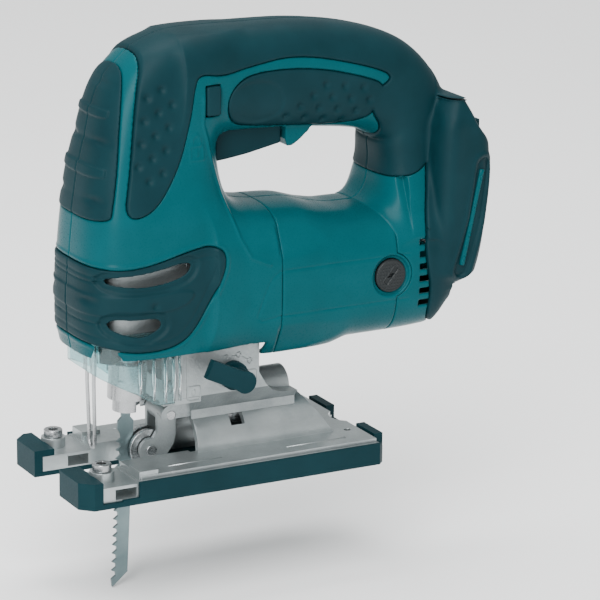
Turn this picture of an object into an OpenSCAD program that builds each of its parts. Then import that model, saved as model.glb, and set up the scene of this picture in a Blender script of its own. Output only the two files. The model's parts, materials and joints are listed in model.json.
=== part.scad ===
// Cordless jigsaw with a D-shaped handle: housing, motor, gear, reciprocating slider, tilting base and controls.
// X runs from the blade (-X, cutting direction) to the battery bay (+X), Z is up, and z = 0 is the sole of the base.
// The tool is symmetric about y = 0, and the operator's left side is -Y.

/* [Base] */
// Width of the base across the cover plate
base_w = 77; // [66:0.5:92]
// Length of the base from the front caps to the rear edge
base_l = 148; // [140:1:178]
// Height of the aluminium base above the sole
plate_h = 11.5; // [9.5:0.1:12]
// Height of the side wall of the cover plate
cover_h = 9.8; // [8:0.1:11]
// Thickness of the sole of the cover plate
sole_t = 2.2; // [1.6:0.1:2.6]
// Width of the slot between the two fingers of the base
slot_w = 26.4; // [24:0.2:30]
// Width of the guide rule slot along the base
rule_w = 10; // [8:0.1:12]
// Height of the guide rule slot
rule_h = 4.6; // [4.2:0.1:5]

/* [Tilt saddle] */
// Outer radius of the half-round saddle
saddle_r = 18.5; // [17:0.1:20]
// Wall of the saddle
saddle_wall = 3; // [2.4:0.1:3.6]
// Height of the tilt axis above the sole
tilt_z = 11.5; // [10:0.1:12]
// Distance that the base can be moved back
base_shift = 20; // [12:1:24]
// Diameter of the base bolt
bolt_d = 6; // [5:0.1:7]

/* [Slider and blade] */
// Stroke of the blade
stroke = 26; // [20:1:26]
// Diameter of the slider rod
rod_d = 10; // [8:0.1:12]
// Forward lean of the slider and the blade
lean = 2.6; // [1:0.1:3.2]
// Length of the blade below the clamp
blade_l = 82; // [70:1:100]
// Width of the blade
blade_w = 7.5; // [6:0.1:9]
// Thickness of the blade
blade_t = 1.3; // [1:0.1:1.7]
// Diameter of the blade clamp sleeve
sleeve_d = 17; // [14:0.1:20]
// Outer diameter of the guide roller
roller_d = 17.6; // [15:0.1:19]
// Diameter of the roller at the bottom of its groove
groove_d = 12.6; // [10.6:0.1:14]
// Diameter of the roller axle
axle_d = 5; // [4:0.1:6]

/* [Gear train] */
// Tooth module
tooth_m = 1; // [0.9:0.01:1.05]
// Teeth on the motor pinion
pinion_n = 9; // [8:1:10]
// Teeth on the crank gear
gear_n = 42; // [38:1:44]
// Diameter of the crank pin
crank_d = 7; // [6:0.1:8]
// Diameter of the fixed spindle under the crank gear
spindle_d = 9; // [7.5:0.1:10.5]

/* [Motor] */
// Height of the motor axis above the sole
motor_z = 84.5; // [82:0.1:86]
// Outer diameter of the motor field
field_d = 54; // [50:0.2:56]
// Diameter of the armature
armature_d = 33; // [28:0.2:38]
// Diameter of the motor shaft
shaft_d = 8; // [6.6:0.1:9]
// Outer diameter of the two motor bearings
bearing_d = 22; // [20:0.1:26]
// Diameter of a brush cap
cap_d = 15; // [13:0.1:17]

/* [Body] */
// Width of the body at the nose and at the motor
body_w = 62; // [60:0.5:75]
// Width of the handle
handle_w = 38; // [34:0.5:45]
// Wall of the housing
wall = 2.6; // [2.2:0.1:3]
// Width of the battery bay
bay_w = 68; // [64:0.5:82]

/* [Controls] */
// Travel of the trigger
trigger_travel = 5.5; // [4:0.1:6]
// Width of the trigger
trigger_w = 18; // [15:0.5:22]
// Travel of the lock-off button
button_travel = 3.5; // [2.5:0.1:4]
// Diameter of the change lever's shaft
lever_d = 8; // [6.6:0.1:9.6]
// Distance that the dust cover slides up
cover_travel = 10; // [6:0.5:11]

/* [Hidden] */

fit = 0.05;          // radial running clearance
gap = 0.4;           // clearance between pieces on different bodies
seam = 0.05;         // clearance between pieces of one body that only touch
big = 400;
$fn = 48;
FINE = 64;
COARSE = 16;         // sides of the round bosses inside the faceted shells
SIDES = 20;          // corners of a lofted section

// ---- Colours
TEAL = [0.00, 0.42, 0.47];
GRIP = [0.07, 0.25, 0.28];
BLACK = [0.06, 0.07, 0.08];
CASTING = [0.70, 0.73, 0.73];
STEEL = [0.62, 0.64, 0.65];
BRASS = [0.72, 0.55, 0.28];
COPPER = [0.72, 0.40, 0.22];
CLEAR = [0.80, 0.90, 0.90, 0.4];
WHITE = [0.95, 0.95, 0.92];

// ---- Derived places
base_front = -73;
base_back = base_front + base_l;
slot_end = -10;                          // rear end of the slot round the blade and the roller
saddle_front = -8.4;
saddle_back = 60;
saddle_in = saddle_r - saddle_wall;
saddle_top = tilt_z + saddle_r;
seat_r = saddle_r + 0.12;
bolt_x = 12.5;                           // base bolt, at the front of its range
seat_back = bolt_x + base_shift + 9.9;   // keeps the slide nut inside the seat at both ends of its travel
seat_half = 12.5;                        // half width of the seat that rides on the saddle
cast_half = 22;                          // half width of the gear housing above the seat
cast_front = -22;
cast_back = 19.5;
cast_low = seat_half + tilt_z + 5.4;     // height where the flanks start to widen at 45 degrees

rod_foot = [-35, 0, 30];                 // point on the slider's axis, below the blade clamp
function rod_x(z) = rod_foot[0] + (z - rod_foot[2]) * tan(lean);
gear_r = tooth_m * gear_n / 2;
pinion_r = tooth_m * pinion_n / 2;
gear_z = motor_z + gear_r + pinion_r + 0.12;   // centre distance with a little backlash
crank_r = stroke / 2;
gear_x = [-15, -8];
weight_x = [-7.4, -4.1];
wall_x = [-3.6, 0.6];
weight_ratio = 0.45;
yoke_back = -22.2;                       // rear face of the yoke, clear of the crank pin's end
pin_front = yoke_back + 1.2;
guide_z = 152;                           // height of the slider guide's pivots
guide_half = 8.5;                        // half width of the slider guide
low_bush = [70, 82];
high_bush = [131, 143];
chamber_half = 22.5;                     // half width of the slider chamber
chamber_front = -54;
chamber_z = [66, 142];
tower_half = 14;                         // half width of the upper, narrow part of the chamber

roller_z = 11.6;
roller_w = 7;
groove_w = 2.6;
blade_back = blade_w / 2;                // from the slider's axis to the blade's back edge
roller_x = rod_x(roller_z) + blade_back / cos(lean) + groove_d / 2 + 0.2;
pivot = [-18.2, 0, 28];                // retainer pivot
arm_half = 6.4;                          // half width of the retainer
lug_half = 11.2;                         // half width of the retainer's lugs, clear of the tilted base

motor_front = 26;                        // seams of the separate motor housing
motor_back = 84;
brush_x = 80.7;
fan_x = [21.5, 30];
bearing_w = 7;
front_bearing_x = 8;
rear_bearing_x = 90;

lever = [6, 0, 46.8];                    // axis of the change lever
lever_tilt = 25;
lever_y = [-36, -32.3];                  // the change lever swings outside the housing

screw_at = [[-48.5, 119], [-46, 158], [-6, 186], [60, 184], [15, 112], [91, 137], [97, 62], [113, 92]];
screw_reach = 12;
bulge_r = cap_d / 2 + 3;                 // ring round a brush cap

// ---- Shared shapes
function oval(w, h, e) = [for (i = [0:SIDES - 1]) let (a = (i + 0.5) * 360 / SIDES, c = cos(a), s = sin(a))
    [w / 2 * sign(c) * pow(abs(c), 2 / e), h / 2 * sign(s) * pow(abs(s), 2 / e)]];

// One ring of a loft: [x, z, lean, depth, width, roundness]; the depth lies along X at lean 0 and along Z at 90
function ring(s, inset) = [for (p = oval(s[3] - 2 * inset, s[4] - 2 * inset, s[5]))
    [s[0] + p[0] * cos(s[2]), p[1], s[1] - p[0] * sin(s[2])]];

module loft(rows, inset = 0) {
    last = len(rows) - 1;
    n = SIDES;
    walls = [for (i = [0:last - 1], k = [0:n - 1]) let (a = i * n + k, b = i * n + (k + 1) % n)
        each [[a, b + n, b], [a, a + n, b + n]]];
    ends = [[for (k = [0:n - 1]) k], [for (k = [n - 1:-1:0]) last * n + k]];
    polyhedron([for (r = rows) each ring(r, inset)], concat(walls, ends));
}

// Box from its low corner to its high corner
module block(low, high) {
    translate(low)
        cube(high - low);
}

// Round bar along X, Y or Z
module bar_x(r, x, y = 0, z = 0, n = FINE) {
    translate([x[0], y, z])
        rotate([0, 90, 0])
            cylinder(r = r, h = x[1] - x[0], $fn = n);
}

module bar_y(r, y, x = 0, z = 0, n = FINE) {
    translate([x, y[1], z])
        rotate([90, 0, 0])
            cylinder(r = r, h = y[1] - y[0], $fn = n);
}

module bar_z(r, z, x = 0, y = 0) {
    translate([x, y, z[0]])
        cylinder(r = r, h = z[1] - z[0], $fn = FINE);
}

// Outline in X and Z, extruded across Y between two values
module side_plate(outline, y) {
    translate([0, y[1], 0])
        rotate([90, 0, 0])
            linear_extrude(y[1] - y[0])
                polygon(outline);
}

module both_sides() {
    children();
    mirror([0, 1, 0])
        children();
}

// Tool axis of the slider: local z runs up the rod from rod_foot
module on_rod() {
    translate(rod_foot)
        rotate([0, lean, 0])
            children();
}

// Tube through a list of points
function unit(v) = v / norm(v);
function at_ring(p, d, r, n) = let (side = unit(cross(d, abs(d[1]) < 0.9 ? [0, 1, 0] : [1, 0, 0])), up = cross(side, d))
    [for (k = [0:n - 1]) p + r * (cos(k * 360 / n) * side + sin(k * 360 / n) * up)];

module tube(path, r, n = 8) {
    last = len(path) - 1;
    dirs = [for (i = [0:last]) unit(path[min(i + 1, last)] - path[max(i - 1, 0)])];
    points = [for (i = [0:last]) each at_ring(path[i], dirs[i], r, n)];
    walls = [for (i = [0:last - 1], k = [0:n - 1]) let (a = i * n + k, b = i * n + (k + 1) % n) [a, b, b + n, a + n]];
    ends = [[for (k = [n - 1:-1:0]) k], [for (k = [0:n - 1]) last * n + k]];
    polyhedron(points, concat(walls, ends));
}

// ---- Body shape: lofted masses that the housing, the grips and the frames share
NOSE = [
    [-23.6, 61.2, 0, 74.6, body_w - 2, 3.2], [-24, 68, 0, 76, body_w, 3.2], [-24.9, 100, 0, 73.6, body_w, 3.2],
    [-25.6, 118, 0, 69.4, body_w - 2, 3.2], [-26.8, 137, 0, 61.6, body_w - 8, 3.2],
    [-24.7, 160, 0, 55.4, body_w - 14, 3], [-20.8, 176, 0, 53.4, body_w - 18, 2.8],
    [-12.5, 190, 0, 47, body_w - 24, 2.6], [-4, 197.6, 0, 32, body_w - 40, 2.4]];
HANDLE = [
    [-14, 174.6, 90, 44, handle_w + 4, 2.8], [12, 175.4, 90, 46.8, handle_w + 2, 2.8],
    [36, 174.8, 90, 47.4, handle_w, 2.8], [58, 172.8, 90, 47, handle_w, 2.8], [74, 170.2, 92, 46, handle_w, 2.8],
    [90, 164, 110, 44, handle_w, 2.8], [101, 150, 150, 36, handle_w + 2, 3], [102, 132, 180, 33, handle_w + 6, 3],
    [101, 116, 180, 36, handle_w + 14, 3], [99, 104, 180, 30, body_w - 8, 3]];
BAY = [
    [112, 76.5, 0, 12, bay_w - 14, 4], [114.5, 83, 0, 21, bay_w - 2, 5], [116.8, 105, 0, 25, bay_w, 5],
    [117.8, 128, 0, 27, bay_w, 5], [117.4, 148, 0, 24.6, bay_w - 1, 5], [119, 161, 0, 17, bay_w - 10, 4]];
FRONT_BARREL = [
    [-4, 92, 90, 66, body_w, 3.4], [14, 86.6, 90, 69.6, body_w + 0.6, 3.2], [motor_front, 84.6, 90, 70, body_w + 1, 3.1]];
MIDDLE = [
    [motor_front, 84.6, 90, 70, body_w + 1, 3.1], [40, 84.3, 90, 69.2, body_w + 0.6, 3.1],
    [55, 83, 90, 64.4, body_w, 3], [66, 83.6, 90, 59.8, body_w, 3], [motor_back, 83.6, 90, 59.6, body_w, 3]];
REAR_BARREL = [
    [motor_back, 83.6, 90, 59.6, body_w, 3], [104, 84, 90, 58.6, body_w, 3], [112, 88, 90, 48, body_w - 2, 3.4]];

module front_mass(inset = 0) {
    loft(NOSE, inset);
    loft(FRONT_BARREL, inset);
}

module back_mass(inset = 0) {
    loft(REAR_BARREL, inset);
    loft(BAY, inset);
}

module body_mass(inset = 0) {
    front_mass(inset);
    loft(HANDLE, inset);
    back_mass(inset);
}

// Regions of the side view that the soft skins cover
WINDOW_BAND = [[-80, 104], [-56, 100.5], [-38, 102], [-14, 108.5], [-5, 108], [-1.5, 102.5], [-5, 92], [-16, 73],
    [-24, 66.6], [-37, 64.6], [-52, 66], [-80, 72]];
WINDOWS = [[[-56, 97], [-38, 94], [-20, 97], [-18, 102.5], [-36, 100], [-53, 99.6]],
    [[-54, 77.5], [-44, 74.2], [-34, 77.4], [-32, 80.4], [-44, 79.6], [-52, 79.4]]];
NOSE_GRIP = [[-80, 122], [-51, 122], [-49.5, 126], [-46, 152], [-42, 178], [-40, 186], [-44, 205], [-80, 205]];
SIDE_GRIP = [[-47.5, 124], [-44, 152], [-38, 183], [-36, 205], [80, 205], [104, 192], [124, 170], [112, 152],
    [108, 138], [99, 128], [86, 126], [80, 126], [82, 142], [84, 148], [76, 158], [78, 166], [88, 172],
    [74, 178], [40, 186], [16, 183], [2, 180], [-10, 182], [-13, 178], [-16, 158], [-22, 143], [-34, 126]];
HANDLE_PANEL = [[4, 168], [7, 159], [15, 156], [34, 154], [60, 152], [77, 154], [84, 168], [72, 173], [48, 179],
    [22, 180], [10, 177]];
BAY_BAND = [[102, 60], [134, 60], [136, 182], [108, 180], [104, 150], [101, 116], [100, 92]];
skin_out = 0.9;      // thickness of the soft skins on the housing

module skin(outline) {
    intersection() {
        difference() {
            body_mass(-skin_out);
            body_mass(0);
        }
        side_plate(outline, [-big, -seam]);
    }
}

// ---- Housing
button = [-3.6, 0, 170];                 // centre of the lock-off button
button_w = 7;
button_h = 13;
trigger_x = [4, 36.5];

module window_cuts() {
    for (w = WINDOWS)
        side_plate(w, [-big, -12]);
}

// Span of the separate motor housing, with its rings round the brush caps
module motor_span(extra) {
    block([motor_front - extra, -big, 40], [motor_back + extra, big, 128]);
    both_sides()
        bar_y(bulge_r + extra, [-big, -20], brush_x, motor_z, 32);
}

module housing_half(head_side = false) {
    difference() {
        union() {
            difference() {
                body_mass(0);
                body_mass(wall);
            }
            intersection() {
                body_mass(1);
                union() {
                    for (p = screw_at)
                        bar_y(4.2, [-big, 0], p[0], p[1], COARSE);
                    // seat of the rear motor bearing
                    block([rear_bearing_x - 4.5, -big, motor_z - 14], [rear_bearing_x + 4.5, 0, motor_z + 14]);
                }
            }
        }
        block([-big, -seam, -big], [big, big, big]);
        motor_span(0);
        // open underneath, round the gear housing and the dust cover
        block([-big, -big, 0], [cast_back + 1, big, 60.9]);
        block([chamber_front - 4.6, -chamber_half - 4, 40], [cast_back + 0.6, 1, 69]);
        block([-6, -26, 60], [motor_front + 1, 1, 112]);
        bar_x(gear_r + 4.8, [gear_x[0] - 2, wall_x[1] + 0.6], 0, gear_z, 32);
        window_cuts();
        // trigger mouth and lock-off button
        block([trigger_x[0] - gap, -trigger_w / 2 - gap, 145], [trigger_x[1] + gap, 1, 162]);
        block([button[0] - button_w / 2 - gap, -big, button[2] - button_h / 2 - gap],
            [button[0] + button_w / 2 + gap, 1, button[2] + button_h / 2 + gap]);
        bay_mouth();
        // cooling slots beside the commutator
        for (i = [0:5])
            block([96, -big, 68.5 + i * 5.6], [104 - (i % 3), -body_w / 2 + wall + 4, 71.3 + i * 5.6]);
        bar_x(bearing_d / 2 + seam, [rear_bearing_x - 3.6, rear_bearing_x + 3.6], 0, motor_z, 32);
        bar_x(shaft_d / 2 + gap, [rear_bearing_x - 8, rear_bearing_x + 8], 0, motor_z, COARSE);
        for (p = screw_at) {
            bar_y(2 + seam, [-screw_reach - seam, 1], p[0], p[1], COARSE);
            if (head_side)
                bar_y(3.6, [-big, -screw_reach], p[0], p[1], COARSE);
        }
    }
}

module housing_left() {
    color(TEAL)
        housing_half();
}

module housing_right() {
    color(TEAL)
        mirror([0, 1, 0])
            housing_half(true);
}

module motor_housing() {
    color(TEAL)
        difference() {
            intersection() {
                loft(MIDDLE);
                motor_span(-seam);
            }
            bar_x(field_d / 2 + seam, [motor_front - 1, motor_back + 20], 0, motor_z);
            both_sides()
                bar_y(cap_d / 2 + seam, [-big, -20], brush_x, motor_z);
        }
}

module bay_mouth() {
    block([118, -bay_w / 2 + 9, 84], [big, 1, 168]);
}

module grip_left() {
    color(GRIP) {
        skin(NOSE_GRIP);
        skin(SIDE_GRIP);
        skin(HANDLE_PANEL);
        difference() {
            skin(BAY_BAND);
            bay_mouth();
        }
    }
}

module grip_right() {
    mirror([0, 1, 0])
        grip_left();
}

module window_frame_left() {
    color(GRIP)
        difference() {
            skin(WINDOW_BAND);
            window_cuts();
        }
}

module window_frame_right() {
    mirror([0, 1, 0])
        window_frame_left();
}

// ---- Gear housing
module seat_outline() {
    rotate([90, 0, 90])
        linear_extrude(seat_back + 9)
            polygon([[-seat_half, 20], [seat_half, 20], [seat_half, cast_low], [cast_half, cast_low + cast_half - seat_half],
                [cast_half, 50], [-cast_half, 50], [-cast_half, cast_low + cast_half - seat_half], [-seat_half, cast_low]]);
}

module chamber_plan(inset, z) {
    r = 11 - inset;
    translate([0, 0, z[0]])
        linear_extrude(z[1] - z[0]) {
            for (side = [-1, 1])
                translate([chamber_front + 11, side * (chamber_half - 11)])
                    circle(r, $fn = FINE);
            translate([chamber_front + inset, -chamber_half + 11])
                square([12, 2 * chamber_half - 22]);
            translate([chamber_front + 11, -chamber_half + inset])
                square([-16 - chamber_front - 11 + inset, 2 * (chamber_half - inset)]);
        }
}

module gear_housing() {
    color(CASTING)
        difference() {
            union() {
                // seat on the saddle and its rib
                intersection() {
                    translate([-9, 0, 0])
                        seat_outline();
                    side_plate([[-9, 20], [seat_back, 20], [seat_back, 32.5], [34, 33.2], [28, 35.5], [23, 40],
                        [cast_back, 46], [-9, 46]], [-big, big]);
                }
                bar_x(8.6, [cast_back - 2, seat_back - 0.6], 0, 32);
                // lower casting
                block([-16, -cast_half, cast_low + cast_half - seat_half], [cast_back, cast_half, 63]);
                block([-16, -cast_half, 60], [13, cast_half, 98]);
                // lugs of the roller retainer
                both_sides() {
                    block([cast_front, -lug_half, 32.6], [-9, -arm_half - 0.5, 38.8]);
                    block([pivot[0], -lug_half, 23.2], [-9, -arm_half - 0.5, 33]);
                    bar_y(4.8, [-lug_half, -arm_half - 0.5], pivot[0], pivot[2]);
                }
                block([cast_front, -lug_half, 34], [-9, lug_half, 38.8]);
                block([cast_front, -cast_half, 36.4], [-9, cast_half, 38.8]);
                // slider chamber and gear chamber
                chamber_plan(0, [chamber_z[0], 112]);
                block([-40, -chamber_half, 111], [-16, chamber_half, 132]);
                block([-43.4, -tower_half, 111], [-16, tower_half, chamber_z[1]]);
                bar_x(gear_r + 4.4, [-16.5, wall_x[1]], 0, gear_z);
                // ears of the slider guide
                both_sides()
                    block([rod_x(guide_z) - 5, -tower_half - 1.2, 131], [rod_x(guide_z) + 5, -tower_half + 1.8, guide_z + 5]);
            }
            bar_x(seat_r, [-30, 60], 0, tilt_z);
            // T-slot of the base bolt
            block([bolt_x - 3.6, -bolt_d / 2 - 0.5, 26], [60, bolt_d / 2 + 0.5, 33]);
            block([bolt_x - 6, -5.9, 31.6], [60, 5.9, 36.9]);
            // hollow lower casting
            block([-30, -cast_half + 4, 40], [15, cast_half - 4, 62.4]);
            bar_y(lever_d / 2 + fit, [-30, 20.4], lever[0], lever[2]);
            bar_y(2.2 + seam, [-20, 20], pivot[0], pivot[2]);
            // inside of the slider chamber, and its mouth round the blade clamp
            chamber_plan(2.5, [chamber_z[0] + 2.5, 112.1]);
            block([-37.5, -chamber_half + 2.5, 110], [-15, chamber_half - 2.5, 130]);
            block([-41.4, -tower_half + 2, 110], [-15, tower_half - 2, chamber_z[1] + 1]);
            bar_z(sleeve_d / 2 + 2.4, [60, 72], rod_x(66));
            block([-25, -17, 62.3], [-17, 17, 72]);
            bar_y(2.5 + seam, [-22, 22], rod_x(guide_z), guide_z);
            // gear chamber, motor shaft and front bearing
            bar_x(gear_r + 2.3, [-17, wall_x[0]], 0, gear_z);
            bar_x(pinion_r + 2.2, [-17, 20], 0, motor_z);
            bar_x(bearing_d / 2 + seam, [front_bearing_x - bearing_w / 2 - 0.1, 20], 0, motor_z);
            bar_x(spindle_d / 2 + seam, [-5, 2], 0, gear_z);
        }
}

module gear_cover() {
    color(CASTING)
        difference() {
            block([cast_front, -cast_half, 38.85], [-16.05, cast_half, 62.2]);
            block([-30, -9, 44], [-10, 9, 58]);
            for (y = [-17, 17], z = [43.5, 58])
                bar_x(2 + seam, [-30, -10], y, z);
        }
}

// ---- Motor
module field_magnet() {
    color(STEEL)
        difference() {
            bar_x(field_d / 2, [33, 73], 0, motor_z);
            bar_x(armature_d / 2 + 0.7, [32, 74], 0, motor_z);
        }
}

module ball_bearing(x) {
    color(STEEL)
        difference() {
            bar_x(bearing_d / 2, [x - bearing_w / 2, x + bearing_w / 2], 0, motor_z);
            bar_x(shaft_d / 2 + fit, [x - bearing_w, x + bearing_w], 0, motor_z);
            for (end = [-1, 1])
                translate([x + end * bearing_w / 2, 0, motor_z])
                    rotate([0, 90, 0])
                        difference() {
                            cylinder(r = bearing_d / 2 - 2, h = 1.6, center = true, $fn = FINE);
                            cylinder(r = shaft_d / 2 + 2, h = 2, center = true, $fn = FINE);
                        }
        }
}

module front_bearing() {
    ball_bearing(front_bearing_x);
}

module rear_bearing() {
    ball_bearing(rear_bearing_x);
}

commutator_r = 11;
holder_y = [13.2, 22];

module brush_holders() {
    color(BRASS)
        both_sides()
            difference() {
                block([brush_x - 4.6, -holder_y[1], motor_z - 5], [brush_x + 4.6, -holder_y[0], motor_z + 5]);
                block([brush_x - 3.1, -big, motor_z - 3.6], [brush_x + 3.1, big, motor_z + 3.6]);
            }
}

module carbon_brushes() {
    color(BLACK)
        both_sides()
            block([brush_x - 3, -holder_y[1] + 2, motor_z - 3.5], [brush_x + 3, -commutator_r - gap, motor_z + 3.5]);
}

module brush_caps() {
    color(BLACK)
        both_sides()
            difference() {
                bar_y(cap_d / 2, [-body_w / 2 + 0.8, -holder_y[1] - 0.1], brush_x, motor_z);
                block([brush_x - 4.5, -big, motor_z - 0.8], [brush_x + 4.5, -body_w / 2 + 2.4, motor_z + 0.8]);
            }
}

module rotor_shaft() {
    color(STEEL) {
        bar_x(shaft_d / 2, [-7.7, rear_bearing_x + 4.2], 0, motor_z);
        bar_x(shaft_d / 4, [gear_x[0], -7.6], 0, motor_z);
    }
}

module armature_core() {
    slots = 12;
    color(COPPER)
        difference() {
            bar_x(armature_d / 2, [35, 71], 0, motor_z);
            bar_x(shaft_d / 2, [34, 72], 0, motor_z);
            for (i = [0:slots - 1])
                translate([0, 0, motor_z])
                    rotate([i * 360 / slots, 0, 0])
                        block([34, -1.1, armature_d / 2 - 3.4], [72, 1.1, armature_d]);
        }
}

module commutator() {
    color(COPPER)
        difference() {
            bar_x(commutator_r, [brush_x - 5, brush_x + 4.2], 0, motor_z);
            bar_x(shaft_d / 2, [70, 95], 0, motor_z);
        }
}

module cooling_fan() {
    blades = 14;
    fan_r = field_d / 2 - 2;
    color(BLACK)
        difference() {
            union() {
                bar_x(shaft_d / 2 + 3, fan_x, 0, motor_z);
                bar_x(fan_r, [fan_x[1] - 1.6, fan_x[1]], 0, motor_z);
                for (i = [0:blades - 1])
                    translate([0, 0, motor_z])
                        rotate([(i + 0.5) * 360 / blades, 0, 0])
                            block([fan_x[0], -0.6, shaft_d / 2 + 2], [fan_x[1] - 1, 0.6, fan_r - 0.5]);
            }
            bar_x(shaft_d / 2, [10, 40], 0, motor_z);
        }
}

// ---- Gears with involute flanks
press_a = 25;
function roll(a) = tan(a) * 180 / PI - a;
function half_tooth(r, n) = let (rp = tooth_m * n / 2, rb = rp * cos(press_a))
    90 / n - 0.11 * 180 / PI / rp + roll(press_a) - roll(acos(min(1, rb / max(r, rb))));
function gear_outline(n, add, ded) = let (rp = tooth_m * n / 2, rt = rp + add * tooth_m, rr = rp - ded * tooth_m,
        rb = max(rr + 0.05, rp * cos(press_a)), steps = [0:4])
    [for (i = [0:n - 1]) each concat(
        [rr * [cos(i * 360 / n - half_tooth(rb, n)), sin(i * 360 / n - half_tooth(rb, n))]],
        [for (k = steps) let (r = rb + (rt - rb) * k / 4, a = i * 360 / n - half_tooth(r, n)) r * [cos(a), sin(a)]],
        [for (k = [4:-1:0]) let (r = rb + (rt - rb) * k / 4, a = i * 360 / n + half_tooth(r, n)) r * [cos(a), sin(a)]],
        [rr * [cos(i * 360 / n + half_tooth(rb, n)), sin(i * 360 / n + half_tooth(rb, n))]])];

module gear_body(n, add, x, z, turn) {
    translate([x[0], 0, z])
        rotate([90, 0, 90])
            rotate(turn)
                linear_extrude(x[1] - x[0])
                    polygon(gear_outline(n, add, 1.15));
}

module drive_pinion() {
    color(STEEL)
        difference() {
            gear_body(pinion_n, 0.95, gear_x, motor_z, 90 + 180 / pinion_n);
            bar_x(shaft_d / 4, [-20, 0], 0, motor_z);
        }
}

module crank_gear() {
    color(STEEL)
        difference() {
            gear_body(gear_n, 0.75, gear_x, gear_z, 270);
            bar_x(spindle_d / 2 + 2, [-20, 0], 0, gear_z);
            bar_x(crank_d / 2, [-20, gear_x[0] + 5], -crank_r, gear_z);
        }
}

module crank_pin() {
    color(STEEL)
        bar_x(crank_d / 2, [pin_front, gear_x[0] + 5], -crank_r, gear_z);
}

module gear_bush() {
    color(BRASS)
        difference() {
            bar_x(spindle_d / 2 + 2, gear_x, 0, gear_z);
            bar_x(spindle_d / 2 + fit, [-20, 0], 0, gear_z);
        }
}

module gear_spindle() {
    color(STEEL)
        bar_x(spindle_d / 2, [gear_x[0] - 0.4, wall_x[1]], 0, gear_z);
}

module counterweight() {
    travel = weight_ratio * stroke / 2;
    reach = travel + spindle_d / 2 + gap;
    color(STEEL)
        difference() {
            bar_x(gear_r - travel - 0.6, weight_x, 0, gear_z);
            block([-10, -spindle_d / 2 - gap, gear_z - travel], [0, spindle_d / 2 + gap, gear_z + travel]);
            for (end = [-1, 1])
                bar_x(reach - travel, [-10, 0], 0, gear_z + end * travel);
        }
}

// ---- Slider
function up_rod(z) = (z - rod_foot[2]) / cos(lean);
yoke_x = (yoke_back - rod_x(gear_z)) * cos(lean);
yoke_half = crank_r + crank_d / 2 + 2.8;
yoke_low = crank_d / 2 + 2.6;
collar_top = 14;
sleeve_z = [5.8, 22];
bush_wall = 2;

module slider_rod() {
    color(STEEL)
        on_rod()
            difference() {
                union() {
                    bar_z(rod_d / 2, [collar_top + seam, up_rod(156)]);
                    block([rod_d / 2 - 2, -yoke_half, up_rod(gear_z) - yoke_low],
                        [yoke_x, yoke_half, up_rod(gear_z) + yoke_low]);
                }
                block([yoke_x - 3.2, -yoke_half + 2.4, up_rod(gear_z) - crank_d / 2 - 0.1],
                    [yoke_x + 5, yoke_half - 2.4, up_rod(gear_z) + crank_d / 2 + 0.1]);
            }
}

module slider_guide() {
    color(CASTING)
        difference() {
            on_rod()
                difference() {
                    union() {
                        for (b = [low_bush, high_bush])
                            block([-rod_d / 2 - 3.6, -guide_half - 2.6, up_rod(b[0])], [rod_d / 2 + 2.8, guide_half + 2.6,
                                up_rod(b[1])]);
                        block([-rod_d / 2 - 3.6, -guide_half, up_rod(low_bush[0])],
                            [-rod_d / 2 - 0.6, guide_half, up_rod(high_bush[1])]);
                        both_sides()
                            block([-5.4, -guide_half - 2.6, up_rod(high_bush[1]) - 1], [5.4, -guide_half + 1.4, up_rod(guide_z + 4)]);
                    }
                    bar_z(rod_d / 2 + bush_wall + seam, [up_rod(low_bush[0]) - 1, up_rod(low_bush[1]) + 1]);
                    bar_z(rod_d / 2 + bush_wall + seam, [up_rod(high_bush[0]) - 1, up_rod(high_bush[1]) + 1]);
                    bar_z(rod_d / 2 + 0.6, [up_rod(low_bush[0]), up_rod(guide_z + 20)]);
                }
            bar_y(2.5 + fit, [-22, 22], rod_x(guide_z), guide_z);
        }
}

module guide_bushes() {
    color(BRASS)
        on_rod()
            for (b = [low_bush, high_bush])
                difference() {
                    bar_z(rod_d / 2 + bush_wall, [up_rod(b[0]), up_rod(b[1])]);
                    bar_z(rod_d / 2 + fit, [up_rod(b[0]) - 1, up_rod(b[1]) + 1]);
                }
}

module guide_pins() {
    color(STEEL)
        both_sides()
            bar_y(2.5, [-tower_half - 1.2, -guide_half + 1.4], rod_x(guide_z), guide_z);
}

module clamp_sleeve() {
    color(STEEL)
        on_rod()
            difference() {
                bar_z(sleeve_d / 2, sleeve_z);
                bar_z(rod_d / 2 + 1 + seam, [sleeve_z[0] - 1, collar_top + seam]);
                bar_z(rod_d / 2 + seam, [0, sleeve_z[1] + 1]);
                for (i = [0:3])
                    rotate(i * 90 + 45)
                        block([sleeve_d / 2 - 0.8, -1.4, sleeve_z[1] - 7], [sleeve_d, 1.4, sleeve_z[1] + 1]);
            }
}

module clamp_collar() {
    color(STEEL)
        on_rod()
            difference() {
                bar_z(rod_d / 2 + 1, [0, collar_top]);
                block([-3.4, -blade_t / 2 - seam, -1], [3.4, blade_t / 2 + seam, 10.2]);
                // step that clears the roller at the bottom of the stroke
                block([2.5, -10, -1], [10, 10, 3.1]);
            }
}

tooth_step = 4;

module saw_blade() {
    half = blade_w / 2;
    teeth = floor((blade_l - 14) / tooth_step);
    color(STEEL)
        on_rod()
            side_plate(concat(
                [[half, -5], [half, -blade_l + 6.5], [-half + 0.4, -blade_l]],
                [for (i = [teeth - 1:-1:0]) each let (z = -11 - (i + 1) * tooth_step)
                    [[-half - 0.2, z + 0.6], [-half + 1.9, z + 2.2], [-half + 1.6, z + tooth_step - 0.1]]],
                [[-half, -8.5], [-half, -5], [-2.1, -3.2], [-2.1, -1.8], [-3.1, -0.4], [-3.1, 10], [3.1, 10],
                    [3.1, -0.4], [2.1, -1.8], [2.1, -3.2]]), [-blade_t / 2, blade_t / 2]);
}

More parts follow.
